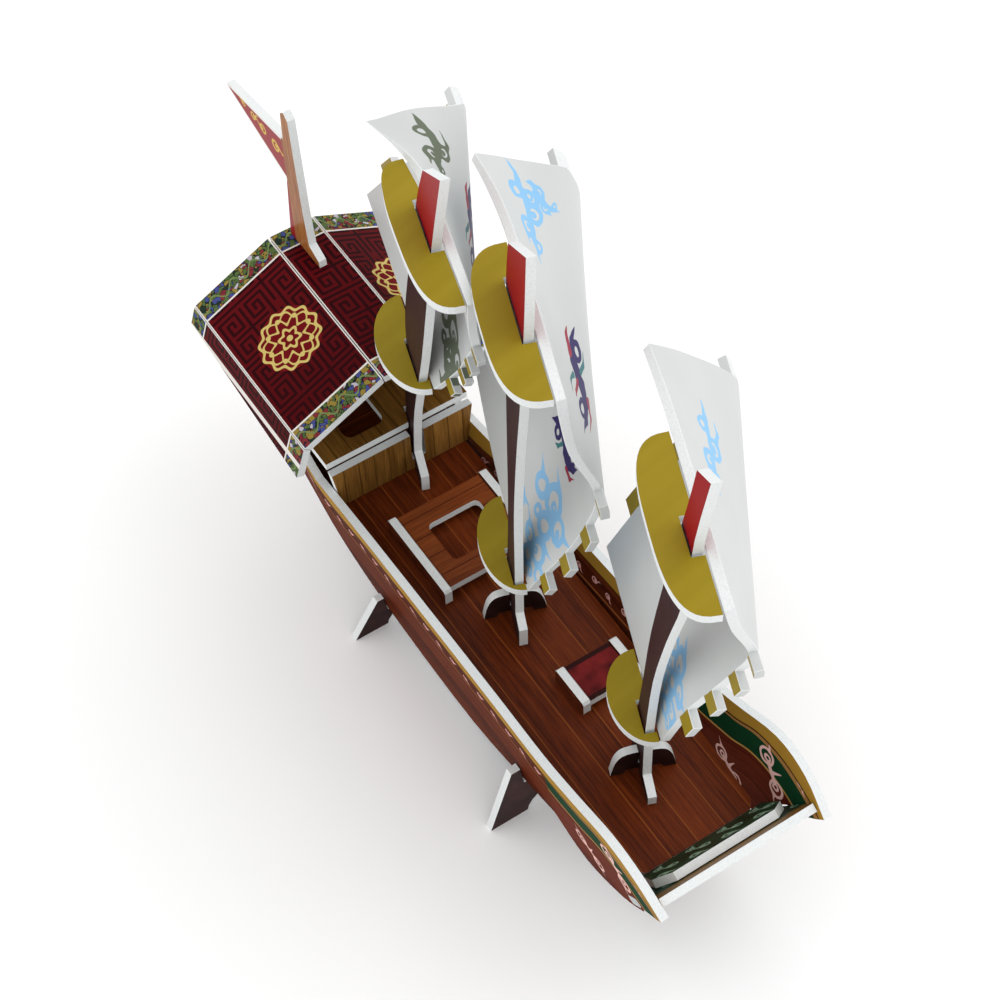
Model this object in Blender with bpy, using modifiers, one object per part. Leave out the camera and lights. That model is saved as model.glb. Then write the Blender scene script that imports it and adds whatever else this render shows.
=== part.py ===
"""Slot-together printed foam-board model of a three-masted junk, on its two stand boards.

Every size below is in millimetres, and MM turns it into Blender's metres. The ship is drawn
with x to the bow, y to port and z = 0 on top of the main deck. At the end the whole model is
set so that it stands on z = 0 with the middle of its box over the origin.
"""
import math

import bmesh
import bpy
from mathutils import Matrix, Vector

MM = 0.001

# Board and clearances
BOARD = 2.2           # thickness of the printed foam board
GAP = 0.3             # between boards that touch
SLOT = BOARD + 0.6    # width of a slot that takes a board on edge
FLOOR = -36.1         # what the stands stand on, below the deck's top

# Hull sides: flat boards that lean out, y = SIDE_Y + SIDE_SLOPE * z on their outer face
SIDE_Y = 22.3
SIDE_SLOPE = 0.137
SIDE_TILT = math.atan(SIDE_SLOPE)
SIDE_WALL = BOARD / math.cos(SIDE_TILT)

# Decks
DECK_AFT, DECK_BOW = -71.1, 78.2
DECK_BOW_HALF = 16.9
POOP_TOP = 17.0
POOP_BOW = -58.1
BULKHEAD_X = -56.7    # middle of the board that stands in front of the poop deck
TRANSOM_X = -97.9
COUNTER = ((-71.4, -2.2), (-83.0, 14.3))   # inner face of the board under the stern, as (x, z)

# Roof: middle of its box along x, and the corners of its outer section
ROOF_AFT, ROOF_BOW = -107.3, -49.8
ROOF_RIDGE = (6.7, 50.9)
ROOF_HIP = (30.7, 39.1)
ROOF_EAVE = (32.6, 33.5)
EAVE_DROP = 3.9       # the eave's lower edge is this much lower at its bow end

# Bow board: its inner face runs down and aft from the middle of its top edge
BOW_TOP = (92.0, 17.1)
BOW_LEAN = math.radians(34)
BOW_LENGTH = 27.0
INSET_FROM, INSET_TO = 4.6, 18.6


def side_inner(z):
    """Half width between the hull sides at height z."""
    return SIDE_Y + SIDE_SLOPE * z - SIDE_WALL


def clear_scene():
    for obj in list(bpy.data.objects):
        bpy.data.objects.remove(obj, do_unlink=True)


def new_collection(name):
    collection = bpy.data.collections.new(name)
    bpy.context.scene.collection.children.link(collection)
    return collection


def finish(name, color, roughness=0.45):
    """A plain printed-board finish."""
    material = bpy.data.materials.new(name)
    material.use_nodes = True
    shader = material.node_tree.nodes["Principled BSDF"]
    shader.inputs["Base Color"].default_value = (*color, 1.0)
    shader.inputs["Roughness"].default_value = roughness
    shader.inputs["Metallic"].default_value = 0.0
    return material


clear_scene()
JUNK = new_collection("junk_model")
SHIP = bpy.data.objects.new("ship_frame", None)
JUNK.objects.link(SHIP)

WOOD_DECK = finish("printed_red_brown_planks", (0.10, 0.022, 0.010))
WOOD_POOP = finish("printed_ochre_planks", (0.16, 0.080, 0.024))
HULL_PRINT = finish("printed_hull_side", (0.17, 0.045, 0.022))
BOW_PRINT = finish("printed_green_bow", (0.010, 0.055, 0.026))
ROOF_PRINT = finish("printed_crimson_roof", (0.12, 0.012, 0.016))
MAST_PRINT = finish("printed_dark_mast", (0.05, 0.022, 0.020))
GOLD_PRINT = finish("printed_gold", (0.42, 0.30, 0.028))
SAIL_PRINT = finish("printed_white_sail", (0.72, 0.73, 0.72))
FLAG_PRINT = finish("printed_red_flag", (0.33, 0.024, 0.024))
STAND_PRINT = finish("printed_dark_stand", (0.045, 0.015, 0.015))
HATCH_PRINT = finish("printed_hatch", (0.12, 0.022, 0.014))
BRACKET_PRINT = finish("printed_dark_bracket", (0.04, 0.016, 0.014))


def frame(origin, along, across):
    """A board's own frame: its plane is spanned by along and across."""
    x_axis = Vector(along).normalized()
    y_axis = Vector(across).normalized()
    z_axis = x_axis.cross(y_axis)
    matrix = Matrix((x_axis, y_axis, z_axis)).transposed().to_4x4()
    matrix.translation = Vector(origin) * MM
    return matrix


def smooth(points, steps=4):
    """Points on a smooth curve that passes through the given ones."""
    ends = [points[0], *points, points[-1]]
    curve = []
    for before, start, stop, after in zip(ends, ends[1:], ends[2:], ends[3:]):
        for step in range(steps):
            t = step / steps
            curve.append(tuple(
                0.5 * (2 * b + (c - a) * t + (2 * a - 5 * b + 4 * c - d) * t ** 2
                       + (3 * b - a - 3 * c + d) * t ** 3)
                for a, b, c, d in zip(before, start, stop, after)))
    curve.append(tuple(points[-1]))
    return curve


def add(name, data, material, matrix=None):
    """Add a piece to the model, carried by the ship's frame."""
    data.materials.append(material)
    piece = bpy.data.objects.new(name, data)
    JUNK.objects.link(piece)
    piece.parent = SHIP
    if matrix is not None:
        piece.matrix_basis = matrix
    return piece


def board(name, outline, matrix, material, holes=()):
    """A flat board: a filled outline, half its thickness to each side of its plane."""
    curve = bpy.data.curves.new(name, "CURVE")
    curve.dimensions = "2D"
    curve.fill_mode = "BOTH"
    curve.extrude = BOARD / 2 * MM
    for loop in (outline, *holes):
        spline = curve.splines.new("POLY")
        spline.points.add(len(loop) - 1)
        for point, (a, b) in zip(spline.points, loop):
            point.co = (a * MM, b * MM, 0.0, 1.0)
        spline.use_cyclic_u = True
    return add(name, curve, material, matrix)


def rounded_slot(start, stop, radius, steps=6):
    """A hole with round ends between two points."""
    a, b = Vector(start), Vector(stop)
    turn = math.atan2((b - a).y, (b - a).x)
    loop = []
    for centre, first in ((b, turn - math.pi / 2), (a, turn + math.pi / 2)):
        for step in range(steps + 1):
            angle = first + math.pi * step / steps
            loop.append((centre.x + radius * math.cos(angle),
                         centre.y + radius * math.sin(angle)))
    return loop


def rounded_box(x0, x1, y0, y1, radius, steps=4):
    """A rectangle with round corners."""
    loop = []
    corners = ((x1 - radius, y1 - radius, 0), (x0 + radius, y1 - radius, 90),
               (x0 + radius, y0 + radius, 180), (x1 - radius, y0 + radius, 270))
    for x, y, first in corners:
        for step in range(steps + 1):
            angle = math.radians(first + 90 * step / steps)
            loop.append((x + radius * math.cos(angle), y + radius * math.sin(angle)))
    return loop


# Masts. Each has a foot (x, y), the starboard corner of its toe; a yaw of its sail plane from the
# ship's axis; a lean to port; and edges as (s, z), where s runs forward in the mast's own plane
# from the toe. centre is how far the foot of the board's middle lies to port of that corner.
# Yards are (top z, aft s, fore s, depth to starboard, roundness).
# Sail rows run from the upper yard down, as (p aft, z aft, p fore, z fore), p to port. The sheet
# is folded at the third row, and the third to sixth rows end in hooks. peak is how far its top
# aft corner is drawn to port of the straight line along the yard.
MASTS = {
    "fore": dict(
        foot=(63.47, -4.57), yaw=-22, lean=1.0, centre=1.1, lap=-10.7, toe=3.4,
        front=((-5.9, 4.7), (-6.4, 15), (-6.2, 25.6), (-3.0, 51.8), (4.6, 79.6), (13.5, 107.4),
               (17.4, 134.5), (23.7, 160.7)),
        back=((14.9, 153.5), (11.0, 137.2), (1.4, 101.8), (-7.2, 66), (-11.3, 38.7), (-14.5, 20),
              (-17.0, 12)),
        heel=((-17.0, GAP),),
        upper=(129, -13.5, 31.5, 9.5, 3.0), lower=(25, -29.0, -2.6, 9.3, 2.0),
        sail_s=(-35.4, 30.9, -59.9, -2.5),
        sail=((5.4, 129, 4.9, 129), (13.6, 122, 8.6, 113), (25.0, 107, 14.8, 92.5),
              (23.8, 91, 13.0, 79.3), (17.5, 70, 9.6, 65.2), (9.2, 45.5, 5.9, 50.6),
              (3.0, 25, 3.3, 25)),
        peak=-0.8),
    "mid": dict(
        foot=(7.89, -5.18), yaw=-21, lean=1.0, centre=1.1, lap=-11.0, toe=7.0,
        front=((-4.4, 8.8), (-4.4, 30), (-4.2, 51.1), (-0.6, 77.6), (4.7, 104.3), (8.9, 130),
               (12.0, 158.2)),
        back=((-5.5, 144.1), (-8.4, 130), (-10.6, 100), (-11.1, 67.8), (-11.1, 48.1), (-13.0, 25),
              (-16.5, 12)),
        heel=((-16.5, GAP),),
        upper=(129.5, -19.2, 25.4, 10.5, 3.0), lower=(22.5, -31.3, -1.6, 8.9, 2.0),
        sail_s=(-44.9, 26.0, -61.5, -1.5),
        sail=((4.9, 129.5, 5.2, 129.5), (11.4, 126.2, 9.2, 102), (22.3, 119, 16.8, 75),
              (25.6, 104, 15.0, 56), (20.8, 83, 10.8, 41), (9.5, 58, 6.3, 31),
              (2.6, 38.7, 3.2, 22.5)),
        peak=-2.7),
    "aft": dict(
        foot=(-47.93, 0.28), yaw=-17.8, lean=1.0, centre=1.1, lap=None, toe=6.0,
        front=((-7.0, 8.5), (-6.2, 15), (-2.6, 31.1), (11.4, 67.6), (22.6, 101.9), (31.2, 128.4),
               (42.8, 159.3)),
        back=((26.1, 146.1), (17.4, 128.4), (4.0, 94), (-5.5, 66.9), (-6.9, 51.6)),
        heel=((-1.9, 51.6), (-1.9, 48.2), (-9.9, 48.2), (-14.5, 20.5), (-14.5, 5.0), (-7.7, 5.0),
              (-7.7, GAP)),
        upper=(126, 1.8, 47.8, 9.0, 3.0), lower=(54, -22.4, 9.9, 10.0, 2.0),
        sail_s=(-10.8, 48.0, -59.2, 10.2),
        sail=((4.2, 126, 5.6, 126), (10.0, 130, 7.8, 104), (18.2, 125, 10.2, 87),
              (18.6, 113, 9.4, 78.5), (14.8, 93, 8.8, 69.5), (7.8, 71, 6.6, 61.5),
              (3.0, 54, 3.7, 54)),
        peak=-6.0),
}
HOOK = 5.2            # how far a hook stands out of the sail's edge
ROWS_PER_BAY = 6      # grid rows of a sail between two rows of its table
SAIL_COLUMNS = 8
FOOT_RISE = 0.55      # share of a sail's foot, from its aft end, that rises clear of its yard
HEAD_TURN = 0.40      # share of its head, from its aft end, that turns to the peak


def sail_axes(mast):
    """Directions along (s) and across (p) a mast's sail plane."""
    yaw = math.radians(mast["yaw"])
    return Vector((math.cos(yaw), math.sin(yaw), 0)), Vector((-math.sin(yaw), math.cos(yaw), 0))


def sail_frame(mast, z=0.0, p=0.0, lean=False):
    """Frame of a board that lies in the mast's plane."""
    along, across = sail_axes(mast)
    up = Vector((0, 0, 1))
    if lean:
        up += across * math.tan(math.radians(mast["lean"]))
    return frame(Vector((*mast["foot"], z)) + p * across, along, up)


def edge_at(edge, z):
    """Where a mast's edge is at height z."""
    points = sorted(edge, key=lambda point: point[1])
    for (s0, z0), (s1, z1) in zip(points, points[1:]):
        if z <= z1:
            break
    return s0 + (s1 - s0) * (z - z0) / (z1 - z0)


def mast_across(mast, z):
    """How far to port the mast's middle is at height z."""
    return mast["centre"] + z * math.tan(math.radians(mast["lean"]))


def make_mast(name, mast):
    """A raked blade with a toe on the deck, and a slot where it crosses its bracket."""
    foot = list(mast["heel"])
    if mast["lap"] is not None:
        aft, fore = mast["lap"] - SLOT / 2, mast["lap"] + SLOT / 2
        foot += [(aft, GAP), (aft, LAP_HEIGHT + GAP), (fore, LAP_HEIGHT + GAP), (fore, GAP)]
    outline = foot + [(0.0, GAP), (0.0, mast["toe"])]
    outline += smooth(mast["front"], 3) + smooth(mast["back"], 3)
    board("mast_" + name, outline, sail_frame(mast, p=mast["centre"], lean=True), MAST_PRINT)


def head_turn(mast, t):
    """How far the head of a sail is turned to port, at a share t of its length from aft."""
    return mast["peak"] * max(0.0, 1.0 - t / HEAD_TURN) ** 2


def chord_across(mast, top, s):
    """How far to port the sail's inner face is, beside a yard."""
    row = mast["sail"][0 if top else -1]
    s_aft, s_fore = mast["sail_s"][:2] if top else mast["sail_s"][2:]
    t = (s - s_aft) / (s_fore - s_aft)
    return row[0] + (row[2] - row[0]) * t + (head_turn(mast, t) if top else 0.0)


def make_yard(name, mast, top):
    """A flat D with its chord against the sail and an open notch for the mast."""
    z, s_aft, s_fore, depth, roundness = mast["upper" if top else "lower"]
    notch_aft = edge_at(mast["back"], z - BOARD) - 0.8
    notch_fore = edge_at(mast["front"], z) + 0.8
    notch_p = mast_across(mast, z - BOARD) - BOARD / 2 - 0.4
    outline = []
    blocked = False
    for step in range(25):
        turn = math.pi * step / 24
        s = (s_aft + s_fore) / 2 - (s_fore - s_aft) / 2 * math.copysign(
            abs(math.cos(turn)) ** (2 / roundness), math.cos(turn))
        p = chord_across(mast, top, s) - GAP - depth * math.sin(turn) ** (2 / roundness)
        blocked = blocked or (p > notch_p and notch_aft < s < notch_fore)
        if not blocked:
            outline.append((s, p))
    notch = [(notch_aft, notch_p), (notch_aft, chord_across(mast, top, notch_aft) - GAP)]
    if blocked:
        notch.insert(0, (outline[-1][0] + 0.3, notch_p))
    else:
        notch.insert(0, (notch_fore, notch_p))
        notch.insert(0, (notch_fore, chord_across(mast, top, notch_fore) - GAP))
    along, across = sail_axes(mast)
    place = frame(Vector((*mast["foot"], z - BOARD / 2)), along, across)
    kind = "yard_upper_" if top else "yard_lower_"
    board(kind + name, outline + notch, place, GOLD_PRINT)


def make_sail(name, mast):
    """A bent sheet between its two chords, with a row of hooks down each raked edge."""
    rows = smooth(mast["sail"], ROWS_PER_BAY)
    columns = [index / SAIL_COLUMNS for index in range(SAIL_COLUMNS + 1)]
    s_top_aft, s_top_fore, s_low_aft, s_low_fore = mast["sail_s"]
    z_top_aft, z_top_fore = mast["sail"][0][1], mast["sail"][0][3]
    z_low_aft, z_low_fore = mast["sail"][-1][1], mast["sail"][-1][3]
    last_bay = len(rows) - 1 - ROWS_PER_BAY
    bpy.ops.mesh.primitive_grid_add(x_subdivisions=len(columns) + 1, y_subdivisions=len(rows) - 1,
                                    size=2)
    made = bpy.context.object
    mesh = made.data
    across_count = len(columns) + 2
    for vertex in mesh.vertices:
        column = vertex.index % across_count - 1
        row = vertex.index // across_count
        p_aft, z_aft, p_fore, z_fore = rows[row]
        t = min(max(column / SAIL_COLUMNS, 0.0), 1.0)
        rise = max(0.0, 1.0 - t / FOOT_RISE) ** 2
        near_foot = max(0.0, (row - last_bay) / ROWS_PER_BAY)
        z = z_fore + (z_aft - z_fore) * ((1.0 - t) * (1.0 - near_foot) + rise * near_foot)
        near_head = max(0.0, 1.0 - row / (2 * ROWS_PER_BAY))
        p = p_aft + (p_fore - p_aft) * t + head_turn(mast, t) * near_head
        down_aft = (z_top_aft - z_aft) / (z_top_aft - z_low_aft)
        down_fore = (z_top_fore - z_fore) / (z_top_fore - z_low_fore)
        s_aft = s_top_aft + (s_low_aft - s_top_aft) * down_aft
        s_fore = s_top_fore + (s_low_fore - s_top_fore) * down_fore
        s = s_aft + (s_fore - s_aft) * t
        s += HOOK * ((column > SAIL_COLUMNS) - (column < 0))
        vertex.co = Vector((s, p, z)) * MM
    hooks = set()
    for bay in (2, 3, 4, 5):
        hooks.update((bay * ROWS_PER_BAY - 1, bay * ROWS_PER_BAY))
    doomed = []
    for face in mesh.polygons:
        lowest = min(face.vertices)
        column, row = lowest % across_count, lowest // across_count
        if column in (0, across_count - 2) and row not in hooks:
            doomed.append(face.index)
    trim_faces(mesh, doomed)
    mesh.name = "sail_" + name
    bpy.data.objects.remove(made, do_unlink=True)
    along, across = sail_axes(mast)
    place = Matrix((along, across, Vector((0, 0, 1)))).transposed().to_4x4()
    place.translation = Vector((*mast["foot"], 0)) * MM
    sail = add("sail_" + name, mesh, SAIL_PRINT, place)
    sheet = sail.modifiers.new("board", "SOLIDIFY")
    sheet.thickness = BOARD * MM
    sheet.offset = 1.0
    sheet.use_even_offset = True
    return sail


def trim_faces(mesh, doomed):
    """Delete faces, and the points that only they used."""
    work = bmesh.new()
    work.from_mesh(mesh)
    work.faces.ensure_lookup_table()
    bmesh.ops.delete(work, geom=[work.faces[index] for index in doomed], context="FACES")
    loose = [vertex for vertex in work.verts if not vertex.link_faces]
    bmesh.ops.delete(work, geom=loose, context="VERTS")
    work.to_mesh(mesh)
    work.free()


LAP_HEIGHT = 4.4      # where a mast and its bracket meet in their two slots

# Brackets that hold the masts' feet: a wide low board on two legs, across the mast's plane
BRACKET_TOP = 9.4
BRACKET_OUTLINE = [(-8.3, GAP), (-5.2, GAP), (-4.4, 2.0), (4.4, 2.0), (5.2, GAP), (8.3, GAP)]
BRACKET_SHOULDER = [(8.3, GAP), (7.2, 5.6), (5.4, 8.6), (2.6, BRACKET_TOP)]


def make_bracket(name, mast):
    along, across = sail_axes(mast)
    lean = mast_across(mast, (LAP_HEIGHT + BRACKET_TOP) / 2)
    shoulder = smooth(BRACKET_SHOULDER, 3)[1:]
    slot = [(SLOT / 2, BRACKET_TOP), (SLOT / 2, LAP_HEIGHT),
            (-SLOT / 2, LAP_HEIGHT), (-SLOT / 2, BRACKET_TOP)]
    outline = BRACKET_OUTLINE + shoulder + slot + [(-a, b) for a, b in reversed(shoulder)]
    origin = Vector((*mast["foot"], 0)) + mast["lap"] * along + lean * across
    board("bracket_" + name, outline, frame(origin, across, (0, 0, 1)), BRACKET_PRINT)


for mast_name, mast_data in MASTS.items():
    make_mast(mast_name, mast_data)
    make_yard(mast_name, mast_data, top=True)
    make_yard(mast_name, mast_data, top=False)
    make_sail(mast_name, mast_data)
for mast_name in ("fore", "mid"):
    make_bracket(mast_name, MASTS[mast_name])

# Hull sides: outlines as (x, z)
STERN_WALL = ((-63.0, 5.8), (-67.5, 10.0), (-70.5, 20.0), (-71.5, 37.4))
SHEER = ((-63.0, 5.8), (-37.0, 8.9), (-5.0, 11.5), (24.0, 13.4), (45.0, 14.0), (60.0, 17.9),
         (75.5, 23.2), (87.0, 21.5), (96.3, 15.0))
BOW_EDGE = ((96.3, 15.0), (94.0, 12.3), (88.5, 6.8), (87.9, 4.7))
LOBE = ((87.9, 4.7), (77.0, -7.3), (60.0, -17.2), (46.6, -12.5))
KEEL = ((46.6, -12.5), (35.5, -17.7), (4.0, -30.3), (-36.0, -29.9), (-60.0, -20.8), (-72.0, -4.6),
        (-83.0, 10.5), (-99.5, 13.6))
ANCHOR_SLOT = ((82.2, 0.8), (85.5, 5.0), 1.3)


def make_side(name, sign):
    """One side of the hull, with the stern wall that carries the roof."""
    stretch = 1 / math.cos(SIDE_TILT)
    edge = smooth(SHEER, 4)[:-1] + list(BOW_EDGE[:-1]) + smooth(LOBE, 4)[:-1] + smooth(KEEL, 4)
    edge += [(-99.5, 37.4)] + list(reversed(smooth(STERN_WALL, 3)))[:-1]
    start, stop, radius = ANCHOR_SLOT
    scaled = [(x, z * stretch) for x, z in edge]
    hole = rounded_slot((start[0], start[1] * stretch), (stop[0], stop[1] * stretch), radius)
    up = Vector((0, sign * math.sin(SIDE_TILT), math.cos(SIDE_TILT)))
    inward = Vector((0, -sign * math.cos(SIDE_TILT), math.sin(SIDE_TILT)))
    origin = Vector((0, sign * SIDE_Y, 0)) + inward * BOARD / 2
    board(name, scaled, frame(origin, (1, 0, 0), up), HULL_PRINT, holes=[hole])


make_side("hull_side_port", 1)
make_side("hull_side_starboard", -1)

# Main deck: full width to amidships, drawn in to the bow
DECK_PLAN = ((DECK_AFT, 19.2), (20.0, 19.2), (50.0, 18.6), (76.2, DECK_BOW_HALF + 0.3))
deck = [*DECK_PLAN, (DECK_BOW, DECK_BOW_HALF - 1.6)]
deck += [(x, -y) for x, y in reversed(deck)]
board("main_deck", deck, frame((0, 0, -BOARD / 2), (1, 0, 0), (0, 1, 0)), WOOD_DECK)

# Poop deck, with a stair opening and a slot for the aft mast in its bow edge
AFT = MASTS["aft"]


def aft_mast_slot(x, p):
    """The y at which a line beside the aft mast crosses x."""
    along, across = sail_axes(AFT)
    s = (x - AFT["foot"][0] - p * across.x) / along.x
    return AFT["foot"][1] + s * along.y + p * across.y


def make_poop():
    along, across = sail_axes(AFT)
    half = side_inner(POOP_TOP - BOARD) - GAP
    middle = mast_across(AFT, POOP_TOP)
    slot = []
    end = min(s for s, z in AFT["heel"]) - 1.6
    for side in (-1, 1):
        p = middle + side * (SLOT / 2 + 0.1)
        corner = Vector(AFT["foot"]) + end * along.xy + p * across.xy
        slot.append(((POOP_BOW, aft_mast_slot(POOP_BOW, p)), (corner.x, corner.y)))
    low, high = slot
    stern = TRANSOM_X + BOARD / 2 + GAP
    outline = [(stern, -half), (POOP_BOW, -half), low[0], low[1], high[1], high[0],
               (POOP_BOW, half), (stern, half)]
    stair = rounded_box(-80.0, -62.0, -13.0, -1.2, 2.5)
    board("poop_deck", outline, frame((0, 0, POOP_TOP - BOARD / 2), (1, 0, 0), (0, 1, 0)),
          WOOD_POOP, holes=[stair])


def make_bulkhead():
    top = POOP_TOP - BOARD - GAP
    middle = mast_across(AFT, 9.0)
    low = aft_mast_slot(BULKHEAD_X, middle) - SLOT / 2 - 0.7
    high = low + SLOT + 1.4
    outline = [(-side_inner(GAP) + GAP, GAP), (side_inner(GAP) - GAP, GAP), (side_inner(top) - GAP, top),
               (high, top), (high, 4.2), (low, 4.2), (low, top), (-side_inner(top) + GAP, top)]
    board("poop_bulkhead", outline, frame((BULKHEAD_X, 0, 0), (0, 1, 0), (0, 0, 1)), WOOD_POOP)


def make_transom():
    low, high = 13.4, 37.0
    hip = side_inner(high) - GAP
    slope = (ROOF_RIDGE[1] - ROOF_HIP[1]) / (ROOF_HIP[0] - ROOF_RIDGE[0])
    under = BOARD / math.cos(math.atan(slope)) + GAP
    hip_top = ROOF_RIDGE[1] - (hip - ROOF_RIDGE[0]) * slope - under
    half = [(side_inner(low) - GAP, low), (hip, high), (hip, hip_top),
            (ROOF_RIDGE[0] - 0.6, ROOF_RIDGE[1] - BOARD - GAP)]
    outline = half + [(-a, b) for a, b in reversed(half)]
    board("transom", outline, frame((TRANSOM_X, 0, 0), (0, 1, 0), (0, 0, 1)), WOOD_POOP)


def make_counter():
    """The sloping board that closes the stern's underside between the deck and the poop deck."""
    low, high = Vector((COUNTER[0][0], 0, COUNTER[0][1])), Vector((COUNTER[1][0], 0, COUNTER[1][1]))
    climb = high - low
    outward = Vector((climb.z, 0, -climb.x)).normalized() * -1
    middle = low + outward * BOARD / 2
    half = [side_inner(z + outward.z * BOARD) - GAP for z in (low.z, high.z)]
    outline = [(-half[0], 0), (half[0], 0), (half[1], climb.length), (-half[1], climb.length)]
    board("stern_counter", outline, frame(middle, (0, 1, 0), climb), WOOD_POOP)


make_poop()
make_bulkhead()
make_transom()
make_counter()


def miter(before, corner, after, depth):
    """The inner corner of a bent strip, at depth under its outer corner."""
    first = (Vector(corner) - Vector(before)).normalized()
    second = (Vector(after) - Vector(corner)).normalized()
    normals = [Vector((side.y, -side.x)) for side in (first, second)]
    bisector = (normals[0] + normals[1]).normalized()
    return Vector(corner) + bisector * depth / bisector.dot(normals[0])


def make_roof():
    """Five panels with mitred joints, drawn as sections and extruded along the ship."""
    outer = [(-ROOF_EAVE[0], ROOF_EAVE[1]), (-ROOF_HIP[0], ROOF_HIP[1]),
             (-ROOF_RIDGE[0], ROOF_RIDGE[1]), (ROOF_RIDGE[0], ROOF_RIDGE[1]),
             (ROOF_HIP[0], ROOF_HIP[1]), (ROOF_EAVE[0], ROOF_EAVE[1])]
    length = ROOF_BOW - ROOF_AFT
    middle = (ROOF_BOW + ROOF_AFT) / 2
    for index in range(5):
        start, stop = Vector(outer[index]), Vector(outer[index + 1])
        run = (stop - start).normalized()
        inner = []
        for corner in (index, index + 1):
            if corner in (0, 5):
                inner.append(Vector(outer[corner]) + Vector((run.y, -run.x)) * BOARD)
            else:
                inner.append(miter(outer[corner - 1], outer[corner], outer[corner + 1], BOARD))
        shy = run * GAP / 2
        section = [start + shy, stop - shy, inner[1] - shy, inner[0] + shy]
        curve = bpy.data.curves.new("roof_panel_%d" % (index + 1), "CURVE")
        curve.dimensions = "2D"
        curve.fill_mode = "BOTH"
        curve.extrude = length / 2 * MM
        spline = curve.splines.new("POLY")
        spline.points.add(3)
        for point, corner in zip(spline.points, section):
            point.co = (corner.x * MM, corner.y * MM, 0.0, 1.0)
        spline.use_cyclic_u = True
        panel = add(curve.name, curve, ROOF_PRINT, frame((middle, 0, 0), (0, 1, 0), (0, 0, 1)))
        if index in (0, 4):
            drop_eave(panel)


def drop_eave(panel):
    """Lower the eave's edge at its bow end: the panel's mesh takes the curve's place."""
    bpy.context.view_layer.update()
    evaluated = panel.evaluated_get(bpy.context.evaluated_depsgraph_get())
    mesh = bpy.data.meshes.new_from_object(evaluated)
    work = bmesh.new()
    work.from_mesh(mesh)
    bmesh.ops.remove_doubles(work, verts=work.verts, dist=0.01 * MM)
    run = Vector((ROOF_EAVE[0] - ROOF_HIP[0], ROOF_EAVE[1] - ROOF_HIP[1]))
    spread = run.x / -run.y * EAVE_DROP
    for vertex in work.verts:
        if vertex.co.y < (ROOF_EAVE[1] + 1.2) * MM and vertex.co.z > 0:
            vertex.co.y -= EAVE_DROP * MM
            vertex.co.x += math.copysign(spread * MM, vertex.co.x)
    work.to_mesh(mesh)
    work.free()
    name, matrix, curve = panel.name, panel.matrix_basis.copy(), panel.data
    bpy.data.objects.remove(panel, do_unlink=True)
    bpy.data.curves.remove(curve)
    mesh.materials.clear()
    add(name, mesh, ROOF_PRINT, matrix)


make_roof()

# Flagpole with its pennant: one board on the ridge, outline as (x, z)
POLE_FOOT = ROOF_RIDGE[1] + GAP
FLAGPOLE = [(-105.2, POLE_FOOT), (-90.1, POLE_FOOT), (-90.4, 53.2), (-94.9, 55.4), (-96.0, 66.9),
            (-97.2, 97.6), (-99.0, 99.3), (-100.8, 97.8), (-101.4, 88.5), (-131.1, 84.6), (-131.1, 83.4),
            (-102.6, 73.7)]
board("flagpole_pennant", FLAGPOLE, frame((0, 0, 0), (1, 0, 0), (0, 0, 1)), FLAG_PRINT)

# Bow board between the sides, and the shorter board laid on its inner face
BOW_DOWN = Vector((-math.sin(BOW_LEAN), 0, -math.cos(BOW_LEAN)))
BOW_OUT = Vector((math.cos(BOW_LEAN), 0, -math.sin(BOW_LEAN)))


def bow_half(distance):
    """Half width of a bow board, a distance down its face."""
    return side_inner(BOW_TOP[1] - distance * math.cos(BOW_LEAN)) - GAP - 0.1


def make_bow():
    top = Vector((BOW_TOP[0], 0, BOW_TOP[1]))
    plane = frame(top + BOW_OUT * BOARD / 2, (0, 1, 0), BOW_DOWN)
    outline = [(-bow_half(0), 0), (bow_half(0), 0), (bow_half(BOW_LENGTH), BOW_LENGTH),
               (-bow_half(BOW_LENGTH), BOW_LENGTH)]
    board("bow_board", outline, plane, BOW_PRINT)
    plane = frame(top - BOW_OUT * (BOARD / 2 + GAP), (0, 1, 0), BOW_DOWN)
    half = 18.6
    right = [(half - 4.0, INSET_FROM), (half, INSET_FROM + 5.0), (half - 1.0, INSET_TO)]
    outline = right + [(-a, b) for a, b in reversed(right)]
    board("bow_inset", outline, plane, BOW_PRINT)


make_bow()

# Hatches on the deck: a panel between two rails, (x from, x to, y of rails, z top, hole)
HATCHES = {
    "main": dict(x=(-41.7, -13.3), frame_x=(-41.0, -14.6), rails=(-12.9, 15.4), top=4.7,
                 hole=(-34.6, -21.0, -6.2, 9.4)),
    "fore": dict(x=(21.2, 33.8), frame_x=(21.6, 33.4), rails=(-2.0, 14.1), top=4.0, hole=None),
}


def make_hatch(name, hatch):
    """A raised panel held between two rails that stand on the deck."""
    for side, y in zip(("starboard", "port"), hatch["rails"]):
        x0, x1 = hatch["x"]
        outline = [(x0, GAP), (x1, GAP), (x1, hatch["top"]), (x1 - 0.6, hatch["top"] + 0.6),
                   (x0 + 0.6, hatch["top"] + 0.6), (x0, hatch["top"])]
        board("hatch_%s_rail_%s" % (name, side), outline, frame((0, y, 0), (1, 0, 0), (0, 0, 1)),
              HATCH_PRINT)
    x0, x1 = hatch["frame_x"]
    y0 = hatch["rails"][0] + BOARD / 2 + GAP
    y1 = hatch["rails"][1] - BOARD / 2 - GAP
    holes = []
    if hatch["hole"]:
        holes.append(rounded_box(*hatch["hole"], 1.6))
    board("hatch_%s_panel" % name, [(x0, y0), (x1, y0), (x1, y1), (x0, y1)],
          frame((0, 0, hatch["top"] - BOARD / 2), (1, 0, 0), (0, 1, 0)), HATCH_PRINT, holes=holes)


for hatch_name, hatch_data in HATCHES.items():
    make_hatch(hatch_name, hatch_data)

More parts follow.
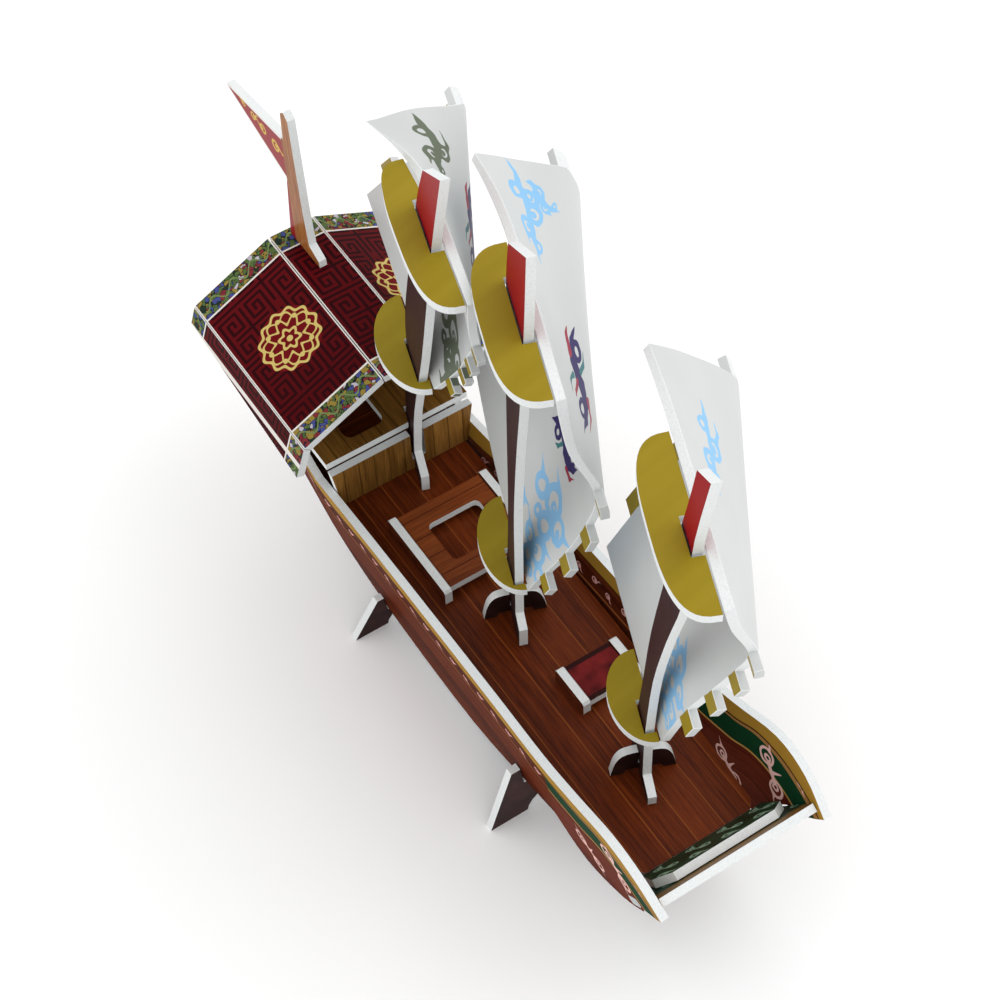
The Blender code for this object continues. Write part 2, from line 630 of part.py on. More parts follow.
# Stands: boards across the hull on two feet, with slots for the hull sides.
# (x, keel z at that x, finger tip y and z, foot's outer y, arch height)
STANDS = {
    "aft": dict(x=-39.8, keel=-29.4, finger=(21.4, -23.7), foot=29.4, arch=7.5),
    "fore": dict(x=30.2, keel=-20.9, finger=(23.4, -13.6), foot=30.4, arch=9.5),
}
FOOT_INNER = 19.0


def make_stand(name, stand):
    deck_under = -BOARD - GAP
    slot_floor = stand["keel"] - GAP
    tip_y, tip_z = stand["finger"]

    def wall(z, side):
        """A slot wall beside the hull side at height z: side 1 outside, -1 inside."""
        outer = SIDE_Y + SIDE_SLOPE * z
        return outer + GAP if side > 0 else outer - SIDE_WALL - GAP

    half = []
    for step in range(9):
        turn = math.pi / 2 * step / 8
        half.append((FOOT_INNER * math.sin(turn), FLOOR + stand["arch"] * math.cos(turn)))
    half += [(stand["foot"], FLOOR), (tip_y, tip_z), (wall(tip_z, 1), tip_z),
             (wall(slot_floor, 1), slot_floor), (wall(slot_floor, -1), slot_floor),
             (wall(deck_under, -1), deck_under)]
    outline = half + [(-a, b) for a, b in reversed(half[1:])]
    board("stand_" + name, outline, frame((stand["x"], 0, 0), (0, 1, 0), (0, 0, 1)), STAND_PRINT)


for stand_name, stand_data in STANDS.items():
    make_stand(stand_name, stand_data)


def stand_on_origin():
    """Move the ship's frame so that the model's box stands on z = 0, centred over the origin."""
    bpy.context.view_layer.update()
    graph = bpy.context.evaluated_depsgraph_get()
    low, high = Vector((1e9, 1e9, 1e9)), Vector((-1e9, -1e9, -1e9))
    for piece in JUNK.objects:
        if piece.type == "EMPTY":
            continue
        ready = piece.evaluated_get(graph)
        mesh = ready.to_mesh()
        for vertex in mesh.vertices:
            place = ready.matrix_world @ vertex.co
            low = Vector(map(min, low, place))
            high = Vector(map(max, high, place))
        ready.to_mesh_clear()
    SHIP.location = (-(low.x + high.x) / 2, -(low.y + high.y) / 2, -low.z)
    bpy.context.view_layer.update()


stand_on_origin()
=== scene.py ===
"""The looks of a slot-together foam-board model of a three-masted junk, built on its CAD frame.

Every board is printed card over a white foam core, so each material prints the board's two faces
and leaves its cut edge white. Lengths in the tables are millimetres in the ship's own frame:
x to the bow, y to port, z = 0 on top of the main deck.
"""

import math

import bpy
from mathutils import Matrix, Vector


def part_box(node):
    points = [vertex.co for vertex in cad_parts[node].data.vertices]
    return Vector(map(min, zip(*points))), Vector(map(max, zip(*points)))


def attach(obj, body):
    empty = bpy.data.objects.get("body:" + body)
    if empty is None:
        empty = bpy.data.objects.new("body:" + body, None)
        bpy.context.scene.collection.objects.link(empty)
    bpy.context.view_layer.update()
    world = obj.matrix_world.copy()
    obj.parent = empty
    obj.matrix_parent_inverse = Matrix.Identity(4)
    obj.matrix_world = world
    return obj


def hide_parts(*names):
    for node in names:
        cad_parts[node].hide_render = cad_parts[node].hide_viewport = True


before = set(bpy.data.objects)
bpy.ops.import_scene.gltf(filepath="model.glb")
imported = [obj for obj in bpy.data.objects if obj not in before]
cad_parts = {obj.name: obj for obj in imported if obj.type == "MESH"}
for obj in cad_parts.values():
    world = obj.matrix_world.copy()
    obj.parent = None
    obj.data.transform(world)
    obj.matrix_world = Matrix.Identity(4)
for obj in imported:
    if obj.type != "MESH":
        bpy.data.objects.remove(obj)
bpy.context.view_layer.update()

MM = 0.001
BOARD = 2.2           # thickness of the foam board
DECK_AFT = -71.1      # the main deck's aft edge, as x
deck_low, deck_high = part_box("main_deck")
SHIP = Vector((deck_low.x - DECK_AFT * MM, (deck_low.y + deck_high.y) / 2, deck_high.z))

FOAM_LIT, FOAM_SHADE = "#E2E5E4", "#D2D5D6"
CLOUD_BLUE = "#8CBFE6"


def in_frame(point):
    """A point of the ship, in millimetres, as a point of the frame in metres."""
    return SHIP + Vector(point) * MM


def linear(code):
    """An sRGB hex colour as a linear colour."""
    parts = [int(code[index:index + 2], 16) / 255 for index in (1, 3, 5)]
    return (*[c / 12.92 if c <= 0.04045 else ((c + 0.055) / 1.055) ** 2.4 for c in parts], 1.0)


def node(tree, kind, *values, out=0, **settings):
    """Add a node, set its settings, and give or link its inputs in order. Returns one output."""
    made = tree.nodes.new("ShaderNode" + kind)
    for key, value in settings.items():
        setattr(made, key, value)
    for socket, value in zip(made.inputs, values):
        if isinstance(value, bpy.types.NodeSocket):
            tree.links.new(value, socket)
        elif value is not None:
            socket.default_value = value
    return made.outputs[out]


def printed(tree, card, *inks):
    """Print inks over a card colour in turn, each as (ink, mask). A mask is a socket, or a stripe
    given as (value, low, high), which is 1 where the value lies between the two."""
    for ink, mask in inks:
        if isinstance(mask, tuple):
            value, low, high = mask
            half = (high - low) / 2
            mask = node(tree, "Math", value, low + half, half, operation="COMPARE")
        tones = [linear(tone) if isinstance(tone, str) else tone for tone in (card, ink)]
        unused = [None] * 5
        card = node(tree, "Mix", mask, *unused, *tones, out=2, data_type="RGBA")
    return card


def inside(tree, distance, soft=0.12):
    """1 inside a shape whose distance in millimetres is given, with a soft printed edge."""
    return node(tree, "Math", distance, -1 / soft, 0.5, operation="MULTIPLY_ADD", use_clamp=True)


def nearest(tree, distances, flow=0.0):
    """The nearest of several shapes, which run into each other by flow millimetres like ink."""
    closest = distances[0]
    for distance in distances[1:]:
        closest = node(tree, "Math", closest, distance, flow, operation="SMOOTH_MIN")
    return closest


INK_FLOW = 0.7        # how far the lines of one ornament run into each other, in millimetres


def strokes(tree, spot, table, flow=INK_FLOW):
    """Distance to tapered brush strokes, as (x, y, x, y, half width, half width) in mm."""
    found = []
    for x0, y0, x1, y1, w0, w1 in table:
        run = Vector((x1 - x0, y1 - y0, 0.0))
        away = node(tree, "VectorMath", spot, (x0, y0, 0.0), operation="SUBTRACT")
        share = node(tree, "VectorMath", away, run / run.length_squared, out=1,
                     operation="DOT_PRODUCT")
        share = node(tree, "Clamp", share, 0.0, 1.0)
        along = node(tree, "VectorMath", run, None, None, share, operation="SCALE")
        gap = node(tree, "VectorMath", away, along, out=1, operation="DISTANCE")
        width = node(tree, "Math", share, w1 - w0, w0, operation="MULTIPLY_ADD")
        found.append(node(tree, "Math", gap, width, operation="SUBTRACT"))
    return nearest(tree, found, flow)


def rings(tree, spot, table):
    """Distance to rings and dots, as (x, y, radius, half width) in mm. A dot has radius 0."""
    found = []
    for x, y, radius, half in table:
        gap = node(tree, "VectorMath", spot, (x, y, 0.0), out=1, operation="DISTANCE")
        if radius:
            gap = node(tree, "Math", gap, radius, operation="SUBTRACT")
            gap = node(tree, "Math", gap, operation="ABSOLUTE")
        found.append(node(tree, "Math", gap, half, operation="SUBTRACT"))
    return nearest(tree, found)


def ornament(tree, spot, scroll):
    """Mask of a scroll of rings and strokes that run into each other."""
    shapes = []
    if scroll.get("rings"):
        shapes.append(rings(tree, spot, scroll["rings"]))
    if scroll.get("strokes"):
        shapes.append(strokes(tree, spot, scroll["strokes"]))
    return inside(tree, nearest(tree, shapes, INK_FLOW))


def brushed(tree, spot, amount=0.7, size=0.35):
    """The same place, pushed about a little, so that drawn lines waver."""
    wave = node(tree, "TexNoise", spot, None, size, 1.0, out=1)
    wave = node(tree, "VectorMath", wave, (0.5, 0.5, 0.5), operation="SUBTRACT")
    wave = node(tree, "VectorMath", wave, None, None, amount * 2, operation="SCALE")
    return node(tree, "VectorMath", spot, wave, operation="ADD")


def moved(scroll, x, y, size=1.0, turn=0.0, flip=1):
    """A scroll set down at a place, scaled, turned by degrees and perhaps mirrored."""
    c, s = math.cos(math.radians(turn)) * size, math.sin(math.radians(turn)) * size

    def put(a, b):
        return x + c * a - s * b * flip, y + s * a + c * b * flip

    rows = [(*put(*row[:2]), row[2] * size, row[3] * size) for row in scroll.get("rings", ())]
    lines = [(*put(*line[:2]), *put(*line[2:4]), line[4] * size, line[5] * size)
             for line in scroll.get("strokes", ())]
    return {"rings": rows, "strokes": lines}


def together(*scrolls):
    """Several scrolls as one."""
    return {key: [row for scroll in scrolls for row in scroll.get(key, ())]
            for key in ("rings", "strokes")}


# Scrolls drawn about the origin, as rings (x, y, radius, half width) and strokes
CURL = {"rings": [(0, 0, 1.1, 0.3), (0.3, 0.0, 0.25, 0.25)],
        "strokes": [(1.1, 0.2, 2.3, -1.2, 0.32, 0.2), (2.3, -1.2, 3.9, -1.4, 0.2, 0.05)]}
CLOUD = {"rings": [(0, 0, 3.3, 0.95), (6.2, 1.8, 2.7, 0.9), (-5.4, 3.0, 2.3, 0.85),
                   (2.6, 6.6, 2.5, 0.9), (1.0, 0.6, 0.9, 0.5), (6.8, 2.4, 0.6, 0.45),
                   (-1.8, 7.4, 1.2, 0.6)],
         "strokes": [(-7.4, 1.4, -11.0, -0.8, 1.0, 0.15), (8.6, 0.2, 12.2, -2.0, 1.0, 0.15),
                     (-1.0, -3.4, -5.2, -5.4, 1.0, 0.15), (4.6, 8.6, 8.6, 8.8, 0.9, 0.15)]}
PLUME = {"rings": [(1.2, 2.5, 2.1, 0.7), (-3.4, -1.9, 1.5, 0.6), (5.4, -1.5, 2.0, 0.7),
                   (1.4, 2.3, 0.5, 0.4), (5.2, -1.2, 0.4, 0.35), (9.0, 2.2, 1.2, 0.5)],
         "strokes": [(-11.0, -1.2, -6.0, -0.3, 0.1, 1.0), (-6.0, -0.3, -1.0, 0.3, 1.0, 1.1),
                     (-1.0, 0.3, 3.6, 0.6, 1.1, 1.0), (3.6, 0.6, 8.0, 0.4, 1.0, 1.1),
                     (8.0, 0.4, 13.0, 2.4, 1.1, 0.1), (-0.8, 3.6, -3.6, 4.6, 0.9, 0.6),
                     (-3.6, 4.6, -6.6, 3.6, 0.6, 0.1), (7.0, -2.8, 10.6, -2.2, 0.8, 0.1)]}
SWIRL = {"rings": [(-6.2, -1.2, 1.9, 0.75), (7.2, 1.0, 1.9, 0.75)],
         "strokes": [(-12.0, -2.6, -7.6, -4.2, 0.15, 1.3), (-7.6, -4.2, -3.6, -3.8, 1.3, 1.9),
                     (-3.6, -3.8, -0.6, -1.4, 1.9, 1.8), (-0.6, -1.4, 1.4, 1.6, 1.8, 1.9),
                     (1.4, 1.6, 4.8, 3.8, 1.9, 1.8), (4.8, 3.8, 9.0, 3.6, 1.8, 1.2),
                     (9.0, 3.6, 13.0, 1.4, 1.2, 0.15)]}
SWIRL_TIPS = {"strokes": [(-4.6, -5.6, -8.2, -7.4, 1.1, 0.7), (-8.2, -7.4, -11.4, -6.6, 0.7, 0.1),
                          (3.6, 5.8, 7.4, 7.4, 1.1, 0.7), (7.4, 7.4, 11.0, 6.4, 0.7, 0.1),
                          (1.4, -1.4, 4.6, -3.0, 0.9, 0.5), (4.6, -3.0, 7.4, -2.2, 0.5, 0.1)]}
SWIRL_LEAVES = {"strokes": [(-2.0, 0.6, -4.6, 2.6, 0.9, 0.6), (-4.6, 2.6, -8.0, 2.6, 0.6, 0.1),
                            (0.6, -4.2, 3.0, -6.2, 0.9, 0.5), (3.0, -6.2, 6.2, -5.8, 0.5, 0.1)]}
DOUBLE_SCROLL = {"rings": [(-3.4, 0.4, 1.8, 0.32), (-3.0, 0.4, 0.7, 0.28), (3.4, -0.6, 1.8, 0.32),
                           (3.0, -0.6, 0.7, 0.28)],
                 "strokes": [(-1.7, 0.0, 1.7, -0.2, 0.5, 0.5), (-4.4, 2.0, -6.6, 3.4, 0.35, 0.05),
                             (4.4, -2.2, 6.6, -3.4, 0.35, 0.05), (0, 0, 0.4, 3.0, 0.5, 0.08)]}


SEAM_WIDTH, SEAM_INK = 0.34, 0.75       # a printed seam between planks in mm, and its strength
GRAIN_STRETCH = 0.035                   # grain is drawn out about 29 times along a plank
GRAIN_PER_MM, FIBRE_PER_MM = 1.3, 5.5   # grain 0.8 mm and fibres 0.2 mm across


def planks(tree, u, v, pitch, dark, light, seam, offset=0.0):
    """Printed planks that run along u: a fine stretched grain, a tone for each plank, and seams."""
    course = node(tree, "Math", v, 1 / pitch, offset / pitch, operation="MULTIPLY_ADD")
    plank = node(tree, "Math", course, operation="FLOOR")
    tone = node(tree, "TexWhiteNoise", None, plank, noise_dimensions="1D")
    along = node(tree, "Math", u, GRAIN_STRETCH, operation="MULTIPLY")
    stretched = node(tree, "CombineXYZ", along, v, plank)
    grain = node(tree, "TexNoise", stretched, None, GRAIN_PER_MM, 5.0, 0.62)
    fibre = node(tree, "TexNoise", stretched, None, FIBRE_PER_MM, 2.0, 0.5)
    fibre = node(tree, "Math", fibre, 0.45, operation="MULTIPLY")
    wood = node(tree, "Math", grain, 0.62, fibre, operation="MULTIPLY_ADD")
    wood = node(tree, "Math", tone, 0.16, wood, operation="MULTIPLY_ADD")
    wood = node(tree, "MapRange", wood, 0.42, 0.78, 0.0, 1.0)
    half_seam = SEAM_WIDTH / pitch / 2
    line = node(tree, "Math", course, operation="FRACT")
    line = node(tree, "Math", line, half_seam, half_seam, operation="COMPARE")
    line = node(tree, "Math", line, SEAM_INK, operation="MULTIPLY")
    return printed(tree, dark, (light, wood), (seam, line))


def plain(dark, light):
    """An even printed colour, clouded between two tones in patches of about 8 mm."""
    def paint(tree, spot, u, v):
        patch = node(tree, "TexNoise", spot, None, 0.12, 3.0, 0.6)
        patch = node(tree, "MapRange", patch, 0.35, 0.68, 0.0, 1.0)
        return printed(tree, dark, (light, patch))
    return paint


def deck_print(tree, spot, u, v):
    """Red-brown planks fore and aft, with pale seams."""
    return planks(tree, u, v, 7.9, "#451A0C", "#7A3614", "#8C4A1E", offset=0.2)


def poop_print(tree, spot, u, v):
    """Ochre planks along the poop deck."""
    return planks(tree, u, v, 4.6, "#64421A", "#A07234", "#46300F")


def upright_print(tree, spot, u, v):
    """Ochre planks like the poop deck's, standing and a little darker."""
    return planks(tree, v, u, 4.6, "#603F18", "#986C34", "#40290E")


def hatch_frame_print(tree, spot, u, v):
    """Mid-brown planks across the main hatch."""
    return planks(tree, v, u, 6.4, "#5A2A14", "#8A4722", "#3A160A")


LID_MIDDLE = 27.5            # the fore hatch's middle, as x
LID_FIELD, LID_RIM = 4.6, 9.0     # half widths of its red field and of its border


def hatch_lid_print_with_painted_sheen(tree, spot, u, v):
    """A dark red lacquered lid with a painted sheen of lighter red patches, and a black-brown border."""
    # painted highlight: patches of lighter red stand in for the sheen on the lacquer
    sheen = node(tree, "TexNoise", spot, None, 0.14, 2.0)
    sheen = node(tree, "MapRange", sheen, 0.35, 0.65, 0.0, 1.0)
    away = node(tree, "Math", u, -LID_MIDDLE, operation="ADD")
    away = node(tree, "Math", away, operation="ABSOLUTE")
    return printed(tree, "#3E0C0E", ("#7A1E1E", sheen), ("#2A0C0A", (away, LID_FIELD, LID_RIM)))


# The hull's sheer line: x against the height of the side's top edge
SHEER = ((-100, 37.4), (-72.5, 37.4), (-70.5, 20.0), (-67.5, 10.0), (-63.0, 5.8), (-37.0, 8.9),
         (-5.0, 11.5), (24.0, 13.4), (45.0, 14.0), (60.0, 17.9), (75.5, 23.2), (87.0, 21.5), (100, 13.0))
SIDE_SPAN = 200.0     # the sheer curve covers x from -100 to 100
SIDE_RISE = 60.0      # and heights from 0 to 60
BOW_PRINT_FROM = 47.0                           # forward of this x the bow's own print starts
BOW_BAND_START, BOW_BAND_DROP = 7.0, 0.035      # its green band lies this far under the sheer
GOLD_TO = 4.4                                   # the gold band's lower edge, under the sheer
CURL_STEP = 13.0                                # the row of curls repeats along x


def hull_print(tree, spot, u, v):
    """Brown timbers under a gold band that follows the sheer; green and tan scrolls at the bow."""
    share = node(tree, "Math", u, 1 / SIDE_SPAN, 0.5, operation="MULTIPLY_ADD")
    line = node(tree, "FloatCurve", 1.0, share)
    curve = line.node.mapping.curves[0]
    for x, z in SHEER[1:-1]:
        curve.points.new(x / SIDE_SPAN + 0.5, z / SIDE_RISE)
    for point, (x, z) in zip((curve.points[0], curve.points[-1]), (SHEER[0], SHEER[-1])):
        point.location = (x / SIDE_SPAN + 0.5, z / SIDE_RISE)
    line.node.mapping.update()
    down = node(tree, "Math", v, -1.0, operation="MULTIPLY")
    under = node(tree, "Math", line, SIDE_RISE, down, operation="MULTIPLY_ADD")
    timbers = planks(tree, u, under, 6.3, "#34110A", "#6E3018", "#1C0804", offset=-0.5)
    # a running row of small curls under the band
    step = node(tree, "Math", u, CURL_STEP, 0.0, operation="WRAP")
    row = brushed(tree, node(tree, "CombineXYZ", step, under, 0.0), 0.3)
    vine = together(moved(CURL, 4.0, 8.4, 0.8), moved(CURL, 10.0, 9.0, 0.7, 20, -1))
    # the bow: tan band, green band, then a brown field with a double scroll
    drop = node(tree, "Math", u, BOW_BAND_DROP, BOW_BAND_START, operation="MULTIPLY_ADD")
    low = node(tree, "Math", under, drop, operation="SUBTRACT")
    bow_scroll = together(moved(DOUBLE_SCROLL, 77.5, 10.5, 1.3, -42), moved(CURL, 56.5, 13.6, 1.0, 20),
                          moved(CURL, 66.0, 17.4, 1.1, -20, -1), moved(CURL, 86.6, 17.6, 0.9, -30),
                          moved(DOUBLE_SCROLL, 64.0, -4.0, 1.1, -20))
    bow = printed(tree, planks(tree, u, under, 7.5, "#4A1A10", "#6E2E1C", "#3A120A"),
                  ("#123A22", (low, -3.4, 3.4)),
                  ("#B98E4E", (low, 3.4, 4.1)),
                  ("#A07444", (low, -30.0, -3.4)),
                  ("#E9BDB4", ornament(tree, brushed(tree, spot, 0.3), bow_scroll)))
    return printed(tree, timbers,
                   ("#9A5A2E", (under, 11.6, 12.3)),
                   ("#D9A09A", ornament(tree, row, vine)),
                   (bow, node(tree, "Math", u, BOW_PRINT_FROM, operation="GREATER_THAN")),
                   ("#A47C30", (under, -2.0, GOLD_TO)),
                   ("#4A2A10", (under, GOLD_TO, 5.0)))


def bow_print(tree, spot, u, v):
    """A gold-brown strip along the top, and dark green with pale scrolls below it."""
    step = node(tree, "Math", u, 9.3, 0.0, operation="WRAP")
    place = brushed(tree, node(tree, "CombineXYZ", step, v, 0.0), 0.4)
    vine = together(moved(CURL, 2.6, 8.2, 1.15, -15), moved(CURL, 7.0, 11.8, 1.05, 165),
                    moved(CURL, 4.4, 15.6, 0.9, 30, -1))
    return printed(tree, plain("#0C2418", "#153C28")(tree, spot, u, v),
                   ("#7F9C84", ornament(tree, place, vine)), ("#6E4F26", (v, -3.0, 4.4)))


ROOF_AFT, ROOF_BOW = -107.3, -49.8
MEDALLION = (28.9, 14.7)     # its middle, from the panel's aft corner
MEDALLION_FIELD = 9.2        # radius of the plain red under it
FLORAL = 6.2                 # width of the flowered bands across the roof's ends
ROOF_LINE = 0.45             # width of the white line along a panel's joint

FRET_CELL = 9.0
FRET_LINE = 0.42             # half width of the key's line
FRET_BARS = ((-1, 1.8, 7.2, 1.8), (7.2, 1.8, 7.2, 7.2), (7.2, 7.2, 1.8, 7.2), (1.8, 7.2, 1.8, 3.6),
             (1.8, 3.6, 5.4, 3.6), (5.4, 3.6, 5.4, 5.4), (5.4, 5.4, 3.6, 5.4), (9.0, 0.0, 9.0, 9.0),
             (1.8, 0.0, 9.0, 0.0), (0.0, 9.0, 7.2, 9.0), (0.0, 3.6, 0.0, 9.0))


def fret(tree, u, v):
    """Mask of a key fret: one square key, mirrored at each side of its 9 mm cell."""
    folded = [node(tree, "Math", value, FRET_CELL, operation="PINGPONG") for value in (u, v)]
    key = node(tree, "CombineXYZ", *folded, 0.0)
    return inside(tree, strokes(tree, key, [(*bar, FRET_LINE, FRET_LINE) for bar in FRET_BARS], 0.0))


FLOWERS_PER_MM = 0.8         # flowers and leaves of about 1.2 mm


def flowers(tree, spot, u, v):
    """A band of small flowers and leaves in four colours on a dark ground."""
    place = brushed(tree, spot, 1.2, 0.5)
    cells = node(tree, "TexVoronoi", place, None, FLOWERS_PER_MM, out=1)
    pick = node(tree, "SeparateColor", cells)
    rim = node(tree, "TexVoronoi", place, None, FLOWERS_PER_MM, feature="DISTANCE_TO_EDGE")
    wave = node(tree, "Math", v, 0.9, operation="MULTIPLY")
    wave = node(tree, "Math", wave, operation="SINE")
    vine = node(tree, "Math", wave, 1.5, FLORAL / 2, operation="MULTIPLY_ADD")
    vine = node(tree, "Math", u, vine, operation="SUBTRACT")
    vine = node(tree, "Math", vine, operation="ABSOLUTE")
    return printed(tree, "#25332A",
                   ("#52663A", (pick, 0.0, 0.38)), ("#8E7A38", (pick, 0.38, 0.54)),
                   ("#7C3034", (pick, 0.54, 0.70)), ("#444C86", (pick, 0.70, 0.84)),
                   ("#B4AEB8", (pick, 0.84, 0.89)), ("#1C1A22", (rim, 0.0, 0.05)),
                   ("#6F8050", (vine, 0.0, 0.3)))


# The rosette's wavy rings: petals, how deep they wave, radius and half width of the line
ROSETTE = ((12, 0.55, 8.4, 0.42), (8, 1.25, 5.4, 0.48), (8, -0.9, 6.9, 0.30), (6, 0.5, 2.6, 0.45))
BOSS = 0.9


def medallion(tree, spot):
    """Mask of a rosette of our own: wavy rings, petals and a boss."""
    centre = node(tree, "VectorMath", spot, (*MEDALLION, 0.0), operation="SUBTRACT")
    apart = node(tree, "SeparateXYZ", centre)
    angle = node(tree, "Math", apart.node.outputs[1], apart, operation="ARCTAN2")
    radius = node(tree, "VectorMath", centre, out=1, operation="LENGTH")
    found = []
    for petals, depth, size, half in ROSETTE:
        wave = node(tree, "Math", angle, petals, operation="MULTIPLY")
        wave = node(tree, "Math", wave, operation="COSINE")
        wave = node(tree, "Math", wave, depth, size, operation="MULTIPLY_ADD")
        gap = node(tree, "Math", radius, wave, operation="SUBTRACT")
        gap = node(tree, "Math", gap, operation="ABSOLUTE")
        found.append(node(tree, "Math", gap, half, operation="SUBTRACT"))
    found.append(node(tree, "Math", radius, BOSS, operation="SUBTRACT"))
    return inside(tree, nearest(tree, found))


def roof_print(width, rosette):
    """Crimson with a darker fret, flowered bands at both ends and white lines at the joints."""
    def paint(tree, spot, u, v):
        length = ROOF_BOW - ROOF_AFT
        shade = node(tree, "MapRange", u, 0.0, length, 0.0, 1.0)
        inks = [("#48090D", shade), ("#2C070C", fret(tree, u, v))]
        if rosette:
            gap = node(tree, "VectorMath", spot, (*MEDALLION, 0.0), out=1, operation="DISTANCE")
            inks += [("#681015", (gap, 0.0, MEDALLION_FIELD)), ("#C8B46A", medallion(tree, spot))]
        ends = node(tree, "Math", u, length / 2, operation="SUBTRACT")
        ends = node(tree, "Math", ends, operation="ABSOLUTE")
        ends = node(tree, "Math", ends, -1.0, length / 2, operation="MULTIPLY_ADD")
        inks.append((flowers(tree, spot, ends, v), (ends, 0.0, FLORAL)))
        inks += [("#DDD8D2", stripe) for stripe in (
            (ends, FLORAL, FLORAL + 0.55), (v, -1.0, ROOF_LINE), (v, width - ROOF_LINE, width + 1.0))]
        return printed(tree, "#5C0E13", *inks)
    return paint


ABOVE_ALL = 400.0            # higher than any mast


def mast_print(top):
    """Dark purple-brown with long grain, and red above the upper yard."""
    def paint(tree, spot, u, v):
        wood = planks(tree, v, u, 30.0, "#241412", "#462F2F", "#241412", offset=12.0)
        return printed(tree, wood, ("#94081E", (v, top, ABOVE_ALL)))
    return paint


def gold_print_with_painted_sheen(tree, spot, u, v):
    """Mustard gold with a soft diagonal painted sheen: lighter gold in broad bands, a painted highlight.
    """
    # painted highlight: diagonal bands of lighter gold stand in for the sheen of light on the board
    lean = node(tree, "VectorMath", spot, (0.08, 0.05, 0.0), out=1, operation="DOT_PRODUCT")
    patch = node(tree, "TexNoise", node(tree, "CombineXYZ", lean, 0.0, 0.0), None, 1.6, 2.0)
    patch = node(tree, "MapRange", patch, 0.35, 0.65, 0.0, 1.0)
    return printed(tree, "#8E7A1C", ("#978222", patch))


POLE_FROM = -102.4           # the pole starts here, with the pennant aft of it
PENNANT_EDGES = [(-101.4, 88.5, -131.1, 84.6, 0.9, 0.7), (-131.1, 83.4, -102.6, 73.7, 0.7, 0.9)]


def flag_print(tree, spot, u, v):
    """Red pennant with a white border and small gold curls; the pole is brown."""
    marks = together(moved(CURL, -106.4, 82.2, 1.35, 20), moved(CURL, -112.6, 83.0, 1.15, 190),
                     moved(CURL, -117.6, 83.6, 0.9, 10, -1), moved(CURL, -122.4, 84.2, 0.7, 190))
    return printed(tree, "#900F1C",
                   ("#E2DED8", inside(tree, strokes(tree, spot, PENNANT_EDGES, 0.0))),
                   ("#CDA83C", ornament(tree, spot, marks)),
                   (planks(tree, v, u, 40.0, "#7A3E1C", "#BE8446", "#7A3E1C"),
                    node(tree, "Math", u, POLE_FROM, operation="GREATER_THAN")))


PURPLE, CRIMSON, TEAL, OLIVE = "#33285F", "#9A2E44", "#3C7478", "#6A7262"


def swirl(x, y, size, turn):
    """One wind scroll in three inks."""
    return tuple((ink, (moved(shape, x, y, size, turn),))
                 for ink, shape in ((PURPLE, SWIRL), (CRIMSON, SWIRL_TIPS), (TEAL, SWIRL_LEAVES)))


# What is printed on each sail, as (ink, scrolls), placed by millimetres along and down the sheet
SAIL_INK = {
    "fore": ((CLOUD_BLUE, (moved(PLUME, -17.0, 13.5, 0.95, 0),)),
             (CLOUD_BLUE, (moved(CLOUD, -5.0, 82.0, 1.0, 20), moved(CLOUD, -1.0, 95.0, 0.9, 200, -1)))),
    "mid": ((CLOUD_BLUE, (moved(PLUME, -34.5, 10.0, 1.0, 8), moved(PLUME, -38.0, 13.5, 0.55, 75))),
            (CLOUD_BLUE, (moved(CLOUD, -9.0, 88.0, 1.1, 10), moved(CLOUD, -5.0, 103.0, 0.95, 190, -1),
                          moved(CLOUD, -27.0, 99.0, 0.9, 8))),
            *swirl(-4.0, 34.0, 0.95, 10), *swirl(-15.0, 74.0, 0.8, -25)),
    "aft": ((OLIVE, (moved(PLUME, -1.0, 7.5, 0.62, -22), moved(CLOUD, 10.0, 60.0, 1.15, 15),
                     moved(CLOUD, 19.0, 70.0, 1.0, 195, -1))),
            *swirl(9.0, 24.0, 0.85, 10)),
}
UV_SCALE = 100.0      # millimetres of sheet for one unit of its UV map


def sail_print(name):
    """Cloud scrolls, plumes and wind scrolls on white, drawn on the sheet's own UV map."""
    def paint(tree, spot):
        patch = node(tree, "TexNoise", spot, None, 0.05, 2.0)
        place = brushed(tree, spot, 0.8, 0.25)
        inks = [(ink, ornament(tree, place, together(*scrolls))) for ink, scrolls in SAIL_INK[name]]
        return printed(tree, "#C4C7C6", ("#CFD1D0", patch), *inks)
    return paint


FOAM_BEAD = 0.5              # millimetres
FOAM_ROUGHNESS = 0.8


def foam_core(tree):
    """Cut polystyrene foam: grey-white, with beads of 0.5 mm that show as faint specks."""
    place = node(tree, "TexCoord", out=3)
    beads = node(tree, "TexVoronoi", place, None, 1 / (FOAM_BEAD * MM))
    return printed(tree, FOAM_LIT, (FOAM_SHADE, node(tree, "MapRange", beads, 0.2, 0.9, 0.0, 0.6)))


def new_finish(name):
    """A new material, its node tree and its shader."""
    material = bpy.data.materials.new(name)
    material.use_nodes = True
    tree = material.node_tree
    return material, tree, tree.nodes["Principled BSDF"]


CARD_IOR = 1.5                                 # clear coat over printed card
CARD_SHINE = 0.08                              # low, since a pale studio veils dark print in reflections
PEEL_PER_MM = 0.9                              # the coat's waves, about 1 mm apart
PEEL_STRENGTH, PEEL_DEPTH = 0.08, 0.08 * MM


def card_surface(tree, shader, roughness, spot, shine):
    """Coated card: the eye sees deep ink under a soft gloss that is broken by a little orange peel."""
    peel = node(tree, "TexNoise", spot, None, PEEL_PER_MM, 2.0)
    bump = node(tree, "Bump", PEEL_STRENGTH, PEEL_DEPTH, 1.0, peel)
    tree.links.new(bump, shader.inputs["Normal"])
    tree.links.new(roughness, shader.inputs["Roughness"])
    shader.inputs["IOR"].default_value = CARD_IOR
    shader.inputs["Specular IOR Level"].default_value = shine


CUT_FACING = 0.6             # a face turned further than this from the board's plane is a cut edge


